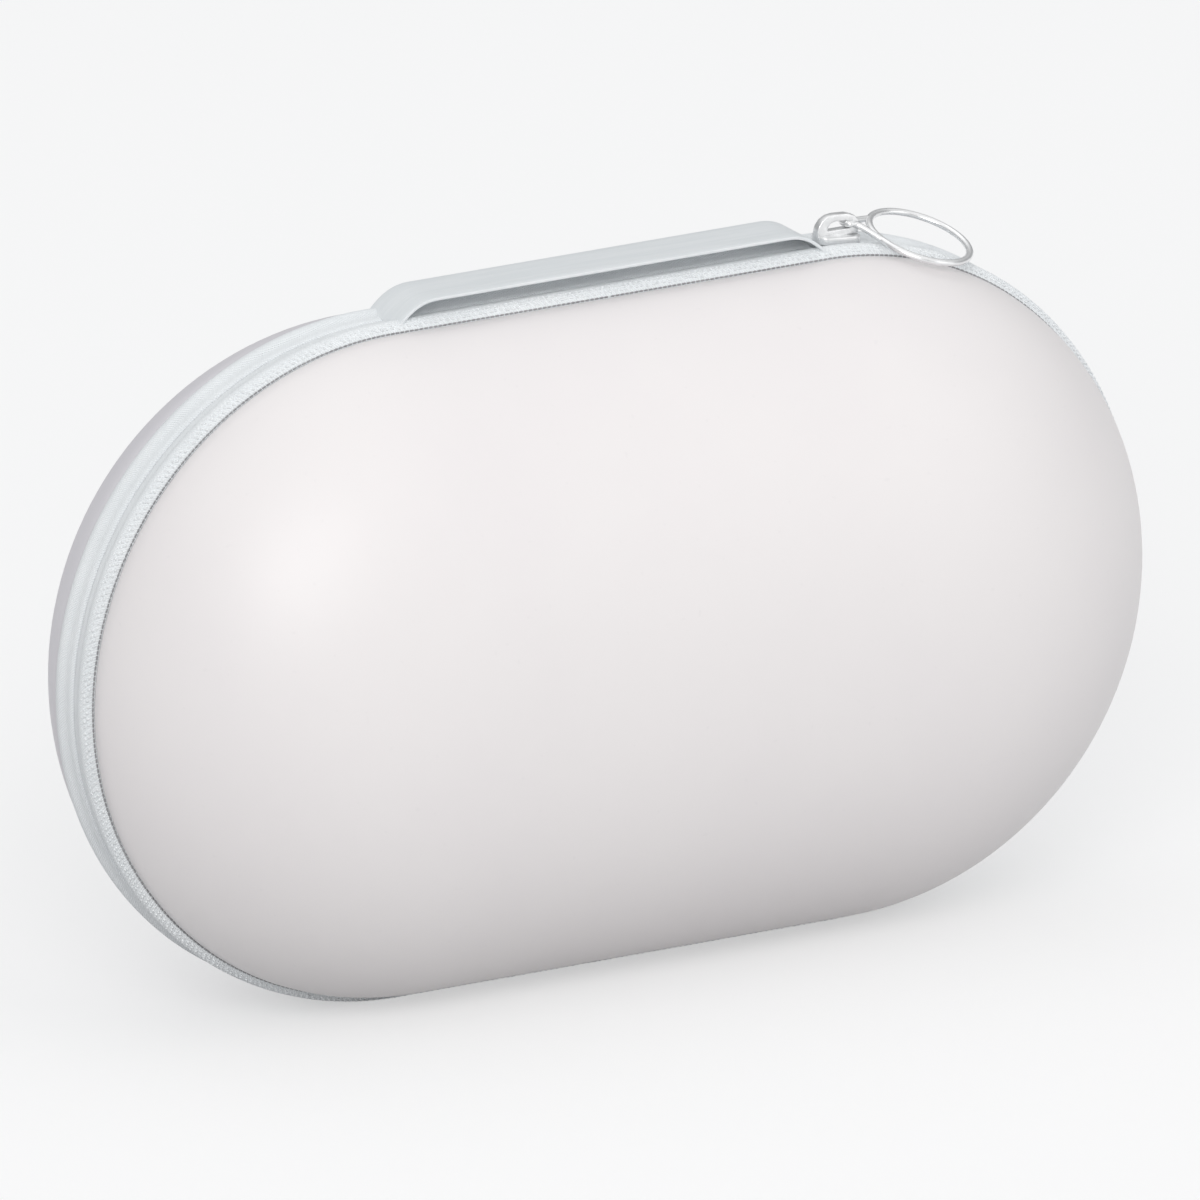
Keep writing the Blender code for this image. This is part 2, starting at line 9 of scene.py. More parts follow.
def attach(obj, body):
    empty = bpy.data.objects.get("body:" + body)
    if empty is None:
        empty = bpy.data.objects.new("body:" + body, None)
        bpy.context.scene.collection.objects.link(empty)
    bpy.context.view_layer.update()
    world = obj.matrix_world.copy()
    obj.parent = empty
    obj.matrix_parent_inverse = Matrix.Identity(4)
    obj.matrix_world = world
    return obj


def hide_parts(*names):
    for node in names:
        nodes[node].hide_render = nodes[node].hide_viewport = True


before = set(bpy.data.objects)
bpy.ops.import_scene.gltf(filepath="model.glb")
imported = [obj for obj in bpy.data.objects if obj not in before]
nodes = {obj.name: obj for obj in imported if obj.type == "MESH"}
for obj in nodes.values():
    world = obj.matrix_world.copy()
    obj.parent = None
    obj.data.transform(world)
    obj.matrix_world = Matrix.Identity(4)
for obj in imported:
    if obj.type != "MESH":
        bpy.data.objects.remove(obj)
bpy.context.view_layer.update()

chance = random.Random(11)

# The case as a whole, in metres
case = {
    "rimRadius": 0.0625,
    "straightHalf": 0.045,
    "bandHalf": 0.00635,
    "shellEdge": 0.00665,
    "crest": 0.00175,
    "spineReach": 0.012,
    "straightParts": 24,
}
centreZ = case["rimRadius"] + case["crest"]
topZ = centreZ + case["rimRadius"]
rightCentre = Vector((case["straightHalf"], 0, centreZ))
leftCentre = Vector((-case["straightHalf"], 0, centreZ))
rimLength = 4 * case["straightHalf"] + 2 * pi * case["rimRadius"]
spineAngle = case["spineReach"] / case["rimRadius"]


# Handling of objects and of what is selected

def deselectAll():
    if bpy.context.mode != "OBJECT":
        bpy.ops.object.mode_set(mode="OBJECT")
    bpy.ops.object.select_all(action="DESELECT")


def focus(piece):
    deselectAll()
    piece.select_set(True)
    bpy.context.view_layer.objects.active = piece


def edit(piece):
    focus(piece)
    bpy.ops.object.mode_set(mode="EDIT")
    bpy.ops.mesh.select_all(action="DESELECT")


def newest(name):
    piece = bpy.context.object
    piece.name = name
    piece.data.name = name
    return piece


def pickVerts(piece, test):
    shape = bmesh.from_edit_mesh(piece.data)
    bpy.ops.mesh.select_mode(type="VERT")
    for vert in shape.verts:
        vert.select = test(piece.matrix_world @ vert.co)
    shape.select_flush_mode()
    bmesh.update_edit_mesh(piece.data)


def pickEdges(piece, test):
    bpy.ops.mesh.select_mode(type="EDGE")
    shape = bmesh.from_edit_mesh(piece.data)
    for edge in shape.edges:
        edge.select = test(*[piece.matrix_world @ v.co for v in edge.verts])
    shape.select_flush_mode()
    bmesh.update_edit_mesh(piece.data)


def applyModifier(piece, kind, settings):
    focus(piece)
    step = piece.modifiers.new(kind.lower(), kind)
    for key, value in settings.items():
        setattr(step, key, value)
    bpy.ops.object.modifier_apply(modifier=step.name)


def settle(piece, angle=40):
    # the place goes into the mesh, and the faces are shaded
    focus(piece)
    bpy.ops.object.transform_apply(location=True, rotation=True, scale=True)
    bpy.ops.object.shade_smooth_by_angle(angle=radians(angle))
    return piece


def mergeAndTurnOut(piece, distance=0.00001):
    edit(piece)
    bpy.ops.mesh.select_all(action="SELECT")
    bpy.ops.mesh.remove_doubles(threshold=distance)
    bpy.ops.mesh.normals_make_consistent(inside=False)
    bpy.ops.object.mode_set(mode="OBJECT")


def joinAll(pieces, name):
    deselectAll()
    for piece in pieces:
        piece.select_set(True)
    bpy.context.view_layer.objects.active = pieces[0]
    bpy.ops.object.join()
    return newest(name)


def dress(piece, material, body, slot, *replaced):
    piece.data.materials.clear()
    piece.data.materials.append(material)
    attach(piece, body)
    if replaced:
        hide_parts(*replaced)


# Lines and sweeps

def drawLine(name, points, closed=False):
    # a single point is drawn out to the next one, and so on; the piece stays in edit mode
    bpy.ops.object.select_all(action="DESELECT")
    bpy.ops.mesh.primitive_plane_add(size=0.001, location=points[0])
    piece = newest(name)
    bpy.ops.object.mode_set(mode="EDIT")
    bpy.ops.mesh.select_mode(type="VERT")
    bpy.ops.mesh.select_all(action="SELECT")
    bpy.ops.mesh.merge(type="CENTER")
    for here, there in zip(points, points[1:]):
        step = Vector(there) - Vector(here)
        bpy.ops.mesh.extrude_region_move(TRANSFORM_OT_translate={"value": step})
    if closed:
        shape = bmesh.from_edit_mesh(piece.data)
        shape.verts.ensure_lookup_table()
        for vert in shape.verts:
            vert.select = len(vert.link_edges) == 1
        shape.select_flush_mode()
        bmesh.update_edit_mesh(piece.data)
        bpy.ops.mesh.edge_face_add()
    return piece


def runRim(name, section, closed, stretch, steps=64):
    # carry a section of (radius, y) points round the outline: "whole", "zipped" or "spine"
    begin = 0.0 if stretch == "whole" else spineAngle
    if stretch == "spine":
        turn = Matrix.Rotation(-spineAngle, 4, "Y")
        start = leftCentre
    else:
        turn = Matrix.Rotation(begin, 4, "Y")
        start = rightCentre
    points = [start + turn @ Vector((0, y, radius)) for radius, y in section]
    piece = drawLine(name, points, closed)
    bpy.ops.mesh.select_all(action="SELECT")
    straight = 2 * case["straightHalf"]
    parts = case["straightParts"]
    axis = (0, -1, 0)        # clockwise as seen from the front
    if stretch == "spine":
        few = max(4, round(steps * spineAngle / pi))
        bpy.ops.mesh.spin(steps=few, angle=spineAngle, center=leftCentre, axis=axis)
        for _ in range(parts):
            bpy.ops.mesh.extrude_region_move(TRANSFORM_OT_translate={"value": (straight / parts, 0, 0)})
        bpy.ops.mesh.spin(steps=few, angle=spineAngle, center=rightCentre, axis=axis)
    else:
        bpy.ops.mesh.spin(steps=steps, angle=pi - begin, center=rightCentre, axis=axis)
        for _ in range(parts):
            bpy.ops.mesh.extrude_region_move(TRANSFORM_OT_translate={"value": (-straight / parts, 0, 0)})
        bpy.ops.mesh.spin(steps=steps, angle=pi - begin, center=leftCentre, axis=axis)
        if stretch == "whole":
            for _ in range(parts):
                bpy.ops.mesh.extrude_region_move(TRANSFORM_OT_translate={"value": (straight / parts, 0, 0)})
    if stretch != "whole":
        bpy.ops.mesh.select_all(action="SELECT")
        bpy.ops.mesh.fill_holes(sides=0)
    bpy.ops.object.mode_set(mode="OBJECT")
    mergeAndTurnOut(piece)
    return piece


def rimPlace(length, radius, y):
    # a point of the outline by its length clockwise from the middle of the top
    half = case["straightHalf"]
    quarter = pi * case["rimRadius"]
    length %= rimLength
    if length < half:
        return Vector((length, y, centreZ + radius)), 0.0
    length -= half
    if length < quarter:
        angle = length / case["rimRadius"]
        return Vector((half + radius * sin(angle), y, centreZ + radius * cos(angle))), angle
    length -= quarter
    if length < 2 * half:
        return Vector((half - length, y, centreZ - radius)), pi
    length -= 2 * half
    if length < quarter:
        angle = pi + length / case["rimRadius"]
        return Vector((-half + radius * sin(angle), y, centreZ + radius * cos(angle))), angle
    return Vector((length - quarter - half, y, centreZ + radius)), 2 * pi


def rimMeasure(x, z):
    # the reverse: length round the outline of a point near it
    half = case["straightHalf"]
    height = z - centreZ
    if abs(x) <= half:
        if height > 0:
            return x % rimLength
        return half + pi * case["rimRadius"] + half - x
    if x > half:
        return half + case["rimRadius"] * atan2(x - half, height)
    angle = atan2(-(x + half), -height)
    return 3 * half + (pi + angle) * case["rimRadius"]


def mapRim(piece):
    # u runs along the outline and v across the band, both in metres
    layer = piece.data.uv_layers.new(name="clothMap")
    corners = piece.data.loops
    for face in piece.data.polygons:
        middle = rimMeasure(face.center.x, face.center.z)
        for index in face.loop_indices:
            place = piece.data.vertices[corners[index].vertex_index].co
            along = rimMeasure(place.x, place.z)
            if along - middle > rimLength / 2:
                along -= rimLength
            elif middle - along > rimLength / 2:
                along += rimLength
            layer.data[index].uv = (along, place.y)


# Shader maths

class Wire:
    # an output socket that takes part in sums with numbers and other wires
    def __init__(self, tree, socket):
        self.tree = tree
        self.socket = socket

    def node(self, kind, settings=None, values=None, out=0):
        made = self.tree.nodes.new(kind)
        for key, value in (settings or {}).items():
            if key == "stops":
                ramp = made.color_ramp.elements
                while len(ramp) < len(value):
                    ramp.new(0.5)
                for stop, (place, color) in zip(ramp, value):
                    stop.position = place
                    stop.color = color
            else:
                setattr(made, key, value)
        for key, value in (values or {}).items():
            if isinstance(value, Wire):
                self.tree.links.new(value.socket, made.inputs[key])
            else:
                made.inputs[key].default_value = value
        return Wire(self.tree, made.outputs[out])

    def math(self, operation, first, second=None, third=None):
        values = {i: v for i, v in enumerate((first, second, third)) if v is not None}
        linked = [v for v in values.values() if isinstance(v, Wire)]
        if any(v.socket.type in ("VECTOR", "RGBA") for v in linked):
            return self.node("ShaderNodeVectorMath", {"operation": operation}, values)
        return self.node("ShaderNodeMath", {"operation": operation}, values)

    def __add__(self, other):
        return self.math("ADD", self, other)

    def __radd__(self, other):
        return self.math("ADD", other, self)

    def __sub__(self, other):
        return self.math("SUBTRACT", self, other)

    def __rsub__(self, other):
        return self.math("SUBTRACT", other, self)

    def __mul__(self, other):
        return self.math("MULTIPLY", self, other)

    def __rmul__(self, other):
        return self.math("MULTIPLY", other, self)

    def __truediv__(self, other):
        return self.math("DIVIDE", self, other)

    def noise(self, place, scale, detail=2.0, rough=0.5):
        return self.node("ShaderNodeTexNoise", {}, {"Vector": place, "Scale": scale, "Detail": detail,
                                                    "Roughness": rough})

    def span(self, value, low, high):
        # 0 at low, 1 at high, eased and held beyond
        return self.node("ShaderNodeMapRange", {"interpolation_type": "SMOOTHSTEP"},
                         {"Value": value, "From Min": low, "From Max": high})

    def blend(self, mask, first, second):
        return self.node("ShaderNodeMix", {"data_type": "RGBA"}, {0: mask, 6: first, 7: second}, out=2)


def opaque(color):
    return (*color, 1.0)


def openMaterial(name, constants):
    # a fresh material with its shader's fixed values set on the shader itself
    made = bpy.data.materials.new(name)
    made.use_nodes = True
    shader = made.node_tree.nodes["Principled BSDF"]
    for key, value in constants.items():
        shader.inputs[key].default_value = value
    start = Wire(made.node_tree, None)
    place = start.node("ShaderNodeTexCoord", out=3)
    return made, shader, start, place


def feed(shader, start, **links):
    names = {"color": "Base Color", "rough": "Roughness", "metal": "Metallic", "normal": "Normal"}
    for key, wire in links.items():
        start.tree.links.new(wire.socket, shader.inputs[names[key]])


def bump(start, height, strength, distance, under=None):
    values = {"Height": height, "Strength": strength, "Distance": distance}
    if under:
        values["Normal"] = under
    return start.node("ShaderNodeBump", {}, values)


def mouldedShell(name, settings):
    # satin moulded skin: faint clouding of the tone, a fine leathery pebble, and a slow unevenness
    made, shader, start, place = openMaterial(name, {"Coat Roughness": 0.35, "Specular IOR Level": 0.45})
    cloud = start.noise(place, settings["cloudScale"], 3.0, 0.55)
    tone = start.blend(start.span(cloud, 0.35, 0.7), opaque(settings["tone"]), opaque(settings["toneFar"]))
    pebble = start.noise(place, settings["pebbleScale"], 2.0, 0.6)
    speck = start.span(start.noise(place, settings["speckScale"], 1.0, 0.5), 0.72, 0.8)
    tone = start.blend(speck * 0.1, tone, opaque(settings["speckTone"]))
    slow = start.noise(place, 22.0, 1.0, 0.4)
    rough = settings["rough"] + (cloud - 0.5) * 0.10 + (pebble - 0.5) * 0.08
    fine = bump(start, pebble, settings["pebbleDepth"], 0.0001)
    normal = bump(start, slow, 0.12, 0.001, fine)
    feed(shader, start, color=tone, rough=rough, normal=normal)
    return made


def wovenTape(name, settings):
    # slanting woven yarns over a plain ground, in lengths of the piece's own map; the valleys between the yarns are
    # painted darker as painted shade
    made, shader, start, place = openMaterial(name, {"Specular IOR Level": 0.25, "Sheen Weight": 0.25,
                                                     "Sheen Roughness": 0.5})
    cloth = start.node("ShaderNodeUVMap", {"uv_map": "clothMap"})
    parts = start.node("ShaderNodeSeparateXYZ", {}, {0: cloth})
    along = parts
    across = Wire(start.tree, parts.socket.node.outputs[1])
    wander = start.noise(place, 900.0, 2.0, 0.6)
    slant = (along + across * settings["slant"]) / settings["yarnPitch"] + wander * 0.5
    yarn = start.math("SINE", slant * (2 * pi)) * 0.5 + 0.5
    cross = start.math("SINE", (along - across * 0.6) / settings["crossPitch"] * (2 * pi)) * 0.5 + 0.5
    weave = yarn * (0.55 + cross * 0.45)
    lint = start.noise(place, 4200.0, 2.0, 0.6)
    height = weave + lint * 0.35
    soil = start.noise(place, 60.0, 3.0, 0.6)
    # painted shade: the weave's valleys take the darker tone
    tone = start.blend(start.span(weave, 0.0, 0.8), opaque(settings["valleyShadeTone"]), opaque(settings["tone"]))
    tone = start.blend(start.span(soil, 0.4, 0.75) * 0.35, tone, opaque(settings["softTone"]))
    rough = settings["rough"] - weave * 0.12
    normal = bump(start, height, settings["depth"], 0.0002)
    feed(shader, start, color=tone, rough=rough, normal=normal)
    return made


def spunThread(name, settings):
    # thread or cord: the tone wanders and the fibres catch the light unevenly
    made, shader, start, place = openMaterial(name, {"Specular IOR Level": 0.3, "Sheen Weight": 0.2})
    fibre = start.noise(place, 2400.0, 3.0, 0.65)
    drift = start.noise(place, 90.0, 2.0, 0.5)
    tone = start.blend(start.span(drift, 0.35, 0.7), opaque(settings["tone"]), opaque(settings["toneFar"]))
    rough = settings["rough"] + (fibre - 0.5) * 0.15
    feed(shader, start, color=tone, rough=rough, normal=bump(start, fibre, 0.5, 0.00008))
    return made


def brightMetal(name, settings):
    # satin plated metal: small casting ripples, fine rub marks, and a tone that dulls in the hollows
    made, shader, start, place = openMaterial(name, {"Metallic": settings["metallic"]})
    ripple = start.noise(place, 500.0, 2.0, 0.5)
    rub = start.noise(place, 2600.0, 3.0, 0.6)
    tone = start.blend(start.span(ripple, 0.3, 0.75), opaque(settings["tone"]), opaque(settings["toneFar"]))
    rough = settings["rough"] + (rub - 0.5) * 0.14 + (ripple - 0.5) * 0.08
    normal = bump(start, ripple * 0.7 + rub * 0.3, 0.12, 0.0001)
    feed(shader, start, color=tone, rough=rough, normal=normal)
    return made


def smoothSheet(name, settings):
    # close-woven coated sheet: a fine square grain under a smooth face
    made, shader, start, place = openMaterial(name, {"Specular IOR Level": 0.4})
    parts = start.node("ShaderNodeSeparateXYZ", {}, {0: place})
    across = Wire(start.tree, parts.socket.node.outputs[1])
    warp = start.math("SINE", parts * (2 * pi / settings["grainPitch"])) * 0.5 + 0.5
    weft = start.math("SINE", across * (2 * pi / settings["grainPitch"])) * 0.5 + 0.5
    lint = start.noise(place, 3000.0, 2.0, 0.6)
    streak = start.noise(place * (0.25, 3.0, 1.0), 240.0, 3.0, 0.6)
    grain = warp * 0.3 + weft * 0.3 + lint * 0.5
    tone = start.blend(start.span(streak, 0.3, 0.7), opaque(settings["tone"]), opaque(settings["toneFar"]))
    rough = settings["rough"] + (streak - 0.5) * 0.1
    feed(shader, start, color=tone, rough=rough, normal=bump(start, grain, 0.25, 0.00008))
    return made


frontSkin = mouldedShell("frontSkin", {
    "tone": (0.815, 0.785, 0.783), "toneFar": (0.80, 0.768, 0.77), "speckTone": (0.62, 0.6, 0.61),
    "cloudScale": 18.0, "pebbleScale": 2600.0, "speckScale": 700.0, "pebbleDepth": 0.10, "rough": 0.42,
})
# the rear shell is the front's plastic painted darker: painted shade for the side turned away from the lamps
rearShadedSkin = mouldedShell("rearShadedSkin", {
    "tone": (0.70, 0.68, 0.71), "toneFar": (0.67, 0.655, 0.69), "speckTone": (0.55, 0.54, 0.56),
    "cloudScale": 18.0, "pebbleScale": 2600.0, "speckScale": 700.0, "pebbleDepth": 0.10, "rough": 0.48,
})
tapeCloth = wovenTape("tapeCloth", {
    "tone": (0.86, 0.885, 0.9), "valleyShadeTone": (0.75, 0.78, 0.8), "softTone": (0.9, 0.915, 0.925),
    "slant": 1.0, "yarnPitch": 0.0005, "crossPitch": 0.00043, "depth": 0.5, "rough": 0.85,
})
ribYarn = wovenTape("ribYarn", {
    "tone": (0.9, 0.915, 0.925), "valleyShadeTone": (0.76, 0.79, 0.81), "softTone": (0.93, 0.94, 0.95),
    "slant": -1.0, "yarnPitch": 0.0003, "crossPitch": 0.0005, "depth": 0.4, "rough": 0.7,
})
# the front seam's dark grey is partly the thread's own colour and partly painted shade of the groove between the
# band's roll and the shell
seamThreadAndShade = spunThread("seamThreadAndShade", {
    "tone": (0.3, 0.3, 0.31), "toneFar": (0.36, 0.36, 0.37), "rough": 0.8,
})
rearSeamThread = spunThread("rearSeamThread", {
    "tone": (0.45, 0.45, 0.47), "toneFar": (0.55, 0.55, 0.57), "rough": 0.8,
})
castMetal = brightMetal("castMetal", {
    "tone": (0.86, 0.865, 0.87), "toneFar": (0.79, 0.795, 0.80), "metallic": 0.9, "rough": 0.3,
})
liningCloth = smoothSheet("liningCloth", {
    "tone": (0.62, 0.63, 0.65), "toneFar": (0.57, 0.58, 0.6), "grainPitch": 0.0006, "rough": 0.8,
})
elasticWeb = smoothSheet("elasticWeb", {
    "tone": (0.5, 0.51, 0.53), "toneFar": (0.45, 0.46, 0.48), "grainPitch": 0.0011, "rough": 0.75,
})
bindingTape = smoothSheet("bindingTape", {
    "tone": (0.6, 0.61, 0.63), "toneFar": (0.55, 0.56, 0.58), "grainPitch": 0.0007, "rough": 0.75,
})
netStrand = spunThread("netStrand", {"tone": (0.66, 0.67, 0.69), "toneFar": (0.6, 0.61, 0.63), "rough": 0.7})
coilNylon = spunThread("coilNylon", {"tone": (0.8, 0.82, 0.83), "toneFar": (0.75, 0.77, 0.78), "rough": 0.4})
boardPlastic = mouldedShell("boardPlastic", {
    "tone": (0.5, 0.5, 0.51), "toneFar": (0.46, 0.46, 0.47), "speckTone": (0.4, 0.4, 0.41),
    "cloudScale": 30.0, "pebbleScale": 1500.0, "speckScale": 700.0, "pebbleDepth": 0.15, "rough": 0.55,
})
strapSheet = smoothSheet("strapSheet", {
    "tone": (0.74, 0.765, 0.78), "toneFar": (0.70, 0.73, 0.745), "grainPitch": 0.0004, "rough": 0.5,
})
print("materials ready")


# Moulded shells

shell = {
    "bulge": 0.0391, "wall": 0.0035, "rimHandle": 0.266, "crownHandle": 0.731,
    "outerSteps": 26, "innerSteps": 14, "outerFirst": 0.08, "innerFirst": 0.04, "lip": 0.0005, "clear": 1.5,
}


def domeLine(inset, steps, first=0.0):
    # (radius, depth) from the rim to the crown, on one smooth curve
    radius = case["rimRadius"] - inset
    bulge = shell["bulge"] - inset
    line = []
    for i in range(steps + 1):
        t = first + (1 - first) * i / steps
        pulled = 3 * (1 - t) * t * t * (1 - shell["crownHandle"]) + t ** 3
        depth = 3 * (1 - t) ** 2 * t * shell["rimHandle"] + 3 * (1 - t) * t * t + t ** 3
        line.append((radius * (1 - pulled), bulge * depth))
    return line


def buildShell(name, side):
    edge = case["shellEdge"]
    lip = shell["lip"]
    outer = domeLine(0, shell["outerSteps"], shell["outerFirst"])
    inner = domeLine(shell["wall"], shell["innerSteps"], shell["innerFirst"])
    section = [(radius, side * (edge + depth)) for radius, depth in reversed(inner)]
    rimInner = case["rimRadius"] - shell["wall"]
    section += [(rimInner, side * (edge + lip)), (rimInner + lip, side * edge)]
    rim = case["rimRadius"]
    section += [(rim - lip, side * edge), (rim - 0.3 * lip, side * (edge + 0.3 * lip)), (rim, side * (edge + lip))]
    section += [(radius, side * (edge + depth)) for radius, depth in outer if depth > shell["clear"] * lip]
    piece = runRim(name, section, False, "whole", 72)
    return settle(piece, 50)


frontShell = buildShell("front_shell_moulded", -1)
dress(frontShell, frontSkin, "lid", "shell_front", "front_shell")
rearShell = buildShell("rear_shell_moulded", 1)
dress(rearShell, rearShadedSkin, "rear_half", "shell_rear", "rear_shell")
print("shells ready")


# Woven band: two zip tapes and the spine between them along the top

band = {
    # the tape's thickness below the shells' rims, and the chain's groove and shelf
    "back": 0.0011, "chainGap": 0.00016, "grooveTop": 0.00012, "grooveFoot": 0.0003, "shelfNear": 0.0020,
    "shelfFar": 0.0022, "shelfDrop": 0.00035, "spineGroove": 0.0002,
    # height over the shells' rims by distance from the middle of the band
    "roll": ((0.00045, 0.00075), (0.0010, 0.00092), (0.0017, 0.00096), (0.0025, 0.00102), (0.0031, 0.00140),
             (0.0037, 0.00168), (0.0042, 0.00175), (0.0047, 0.00168), (0.0052, 0.00147), (0.0057, 0.00110),
             (0.0061, 0.00062), (0.0063, 0.0002), (0.00635, -0.0003)),
}


def rollFace(side):
    return [(case["rimRadius"] + height, side * y) for y, height in band["roll"]]


def tapeSection(side):
    rim = case["rimRadius"]
    gap = side * band["chainGap"]
    inner = rim - band["back"]
    section = [(inner, side * band["shelfFar"]), (rim - band["shelfDrop"], side * band["shelfNear"])]
    section += [(rim - band["grooveFoot"], gap), (rim + band["grooveTop"], gap)]
    return section + rollFace(side) + [(inner, side * case["bandHalf"])]


frontTape = settle(runRim("front_tape_woven", tapeSection(-1), True, "zipped", 90), 60)
mapRim(frontTape)
dress(frontTape, tapeCloth, "lid", "woven_tape", "front_zipper_tape")
rearTape = settle(runRim("rear_tape_woven", tapeSection(1), True, "zipped", 90), 60)
mapRim(rearTape)
dress(rearTape, tapeCloth, "rear_half", "woven_tape", "rear_zipper_tape")

spineSection = rollFace(-1)[::-1] + [(case["rimRadius"] + band["spineGroove"], 0)] + rollFace(1)
spineBack = case["rimRadius"] - band["back"]
spineSection += [(spineBack, case["bandHalf"]), (spineBack, -case["bandHalf"])]
spineBand = settle(runRim("spine_woven", spineSection, True, "spine", 90), 60)
mapRim(spineBand)
dress(spineBand, tapeCloth, "lid", "woven_tape", "spine_band")
print("band ready")


# Small shapes that repeat round the outline

def copyRound(pattern, name, spots, smooth=70):
    # spots are (length, radius, y, lean, (along, across, up) growth)
    copies = []
    for length, radius, y, lean, grow in spots:
        place, angle = rimPlace(length, radius, y)
        turn = Matrix.Rotation(angle, 4, "Y") @ Matrix.Rotation(lean, 4, "Z")
        shape = pattern.data.copy()
        shape.transform(Matrix.Translation(place) @ turn @ Matrix.Diagonal((*grow, 1)))
        copy = bpy.data.objects.new("small_copy", shape)
        bpy.context.scene.collection.objects.link(copy)
        copies.append(copy)
    bpy.data.objects.remove(pattern)
    return settle(joinAll(copies, name), smooth)


def rollHeight(y):
    # height of the band's face over the rim at a distance from the middle
    points = band["roll"]
    for (nearY, nearH), (farY, farH) in zip(points, points[1:]):
        if y <= farY:
            return nearH + (farH - nearH) * (y - nearY) / (farY - nearY)
    return points[-1][1]


# Nubs of yarn on the front roll

nub = {
    # rows by distance from the middle, with their share of the full size
    "rows": ((0.0034, 0.5), (0.0041, 0.65), (0.0047, 0.8), (0.0053, 1.0), (0.0058, 1.05)), "pitch": 0.00112,
    "length": 0.00115, "width": 0.00078, "height": 0.0005, "sink": 0.00012, "lean": radians(24),
    "stagger": 0.37, "slip": 0.12, "stray": 0.00008, "leanStray": 0.35, "smallest": 0.78, "largest": 1.1,
}


def pillow(name, length, width, height, across=False):
    # a low bean, pinched in the middle, that repeats
    bpy.ops.object.select_all(action="DESELECT")
    bpy.ops.mesh.primitive_uv_sphere_add(segments=8, ring_count=5, radius=0.5, rotation=(pi / 2, 0, 0))
    piece = newest(name)
    bpy.ops.object.transform_apply(rotation=True)
    edit(piece)
    pickVerts(piece, lambda p: abs(p.y) < 0.2)
    bpy.ops.transform.resize(value=(0.86, 1, 0.9))
    pickVerts(piece, lambda p: p.y > 0.2)
    bpy.ops.transform.rotate(value=radians(18), orient_axis="Y", center_override=(0, 0, 0))
    bpy.ops.mesh.select_all(action="SELECT")
    bpy.ops.transform.resize(value=(width, length, height), center_override=(0, 0, 0))
    if across:
        bpy.ops.transform.rotate(value=pi / 2, orient_axis="Z", center_override=(0, 0, 0))
    bpy.ops.object.mode_set(mode="OBJECT")
    return piece


def nubRows(name, first, last):
    spots = []
    for row, (across, size) in enumerate(nub["rows"]):
        for i in range(int((last - first) / nub["pitch"])):
            slip = chance.uniform(-nub["slip"], nub["slip"])
            length = first + (i + 0.5 + nub["stagger"] * row) * nub["pitch"] + slip * nub["pitch"]
            y = across + chance.uniform(-nub["stray"], nub["stray"])
            grow = size * chance.uniform(nub["smallest"], nub["largest"])
            if first < length < last:
                lean = nub["lean"] + chance.uniform(-nub["leanStray"], nub["leanStray"])
                radius = case["rimRadius"] + rollHeight(y) - nub["sink"]
                spots.append((length, radius, -y, lean, (grow, grow, size)))
    return copyRound(pillow("nub_pattern", nub["length"], nub["width"], nub["height"]), name, spots)


spineHalf = case["straightHalf"] + case["spineReach"]
tapeNubs = nubRows("front_tape_nubs", spineHalf, rimLength - spineHalf)
mapRim(tapeNubs)
dress(tapeNubs, ribYarn, "lid", "woven_tape")
spineNubs = nubRows("spine_nubs", rimLength - spineHalf, rimLength + spineHalf)
mapRim(spineNubs)
dress(spineNubs, ribYarn, "lid", "woven_tape")
print("nubs ready")


# Seams between the band and the shells

seam = {
    "pitch": 0.00098, "length": 0.00092, "width": 0.0002, "height": 0.0004, "place": 0.00646, "proud": 0.00008,
}


def seamStitches(name, side, first, last):
    spots = []
    for i in range(int((last - first) / seam["pitch"])):
        radius = case["rimRadius"] + seam["proud"]
        spots.append((first + (i + 0.5) * seam["pitch"], radius, side * seam["place"], 0.0, (1.0, 1.0, 1.0)))
    pattern = pillow("stitch_pattern", seam["length"], seam["width"], seam["height"], True)
    return copyRound(pattern, name, spots)


# these stitches are dark partly as painted shade of the seam's groove
frontSeam = seamStitches("front_seam_stitches", -1, 0.0, rimLength)
dress(frontSeam, seamThreadAndShade, "lid", "binding_cloth")
# the rear seam is the lid's fold along the spine, with no stitches of its own there
rearSeam = seamStitches("rear_seam_stitches", 1, spineHalf, rimLength - spineHalf)
dress(rearSeam, rearSeamThread, "rear_half", "binding_cloth")
print("seams ready")


# Carrying strap

strap = {
    "width": 0.0115, "thickness": 0.0006, "rise": 0.0046, "flatHalf": 0.03605, "footHalf": 0.04435,
    "bendPower": 2.3, "edgeRound": 0.00016, "shift": 0.0011, "bendParts": 18, "acrossParts": 6, "footLift": 0.0003,
}


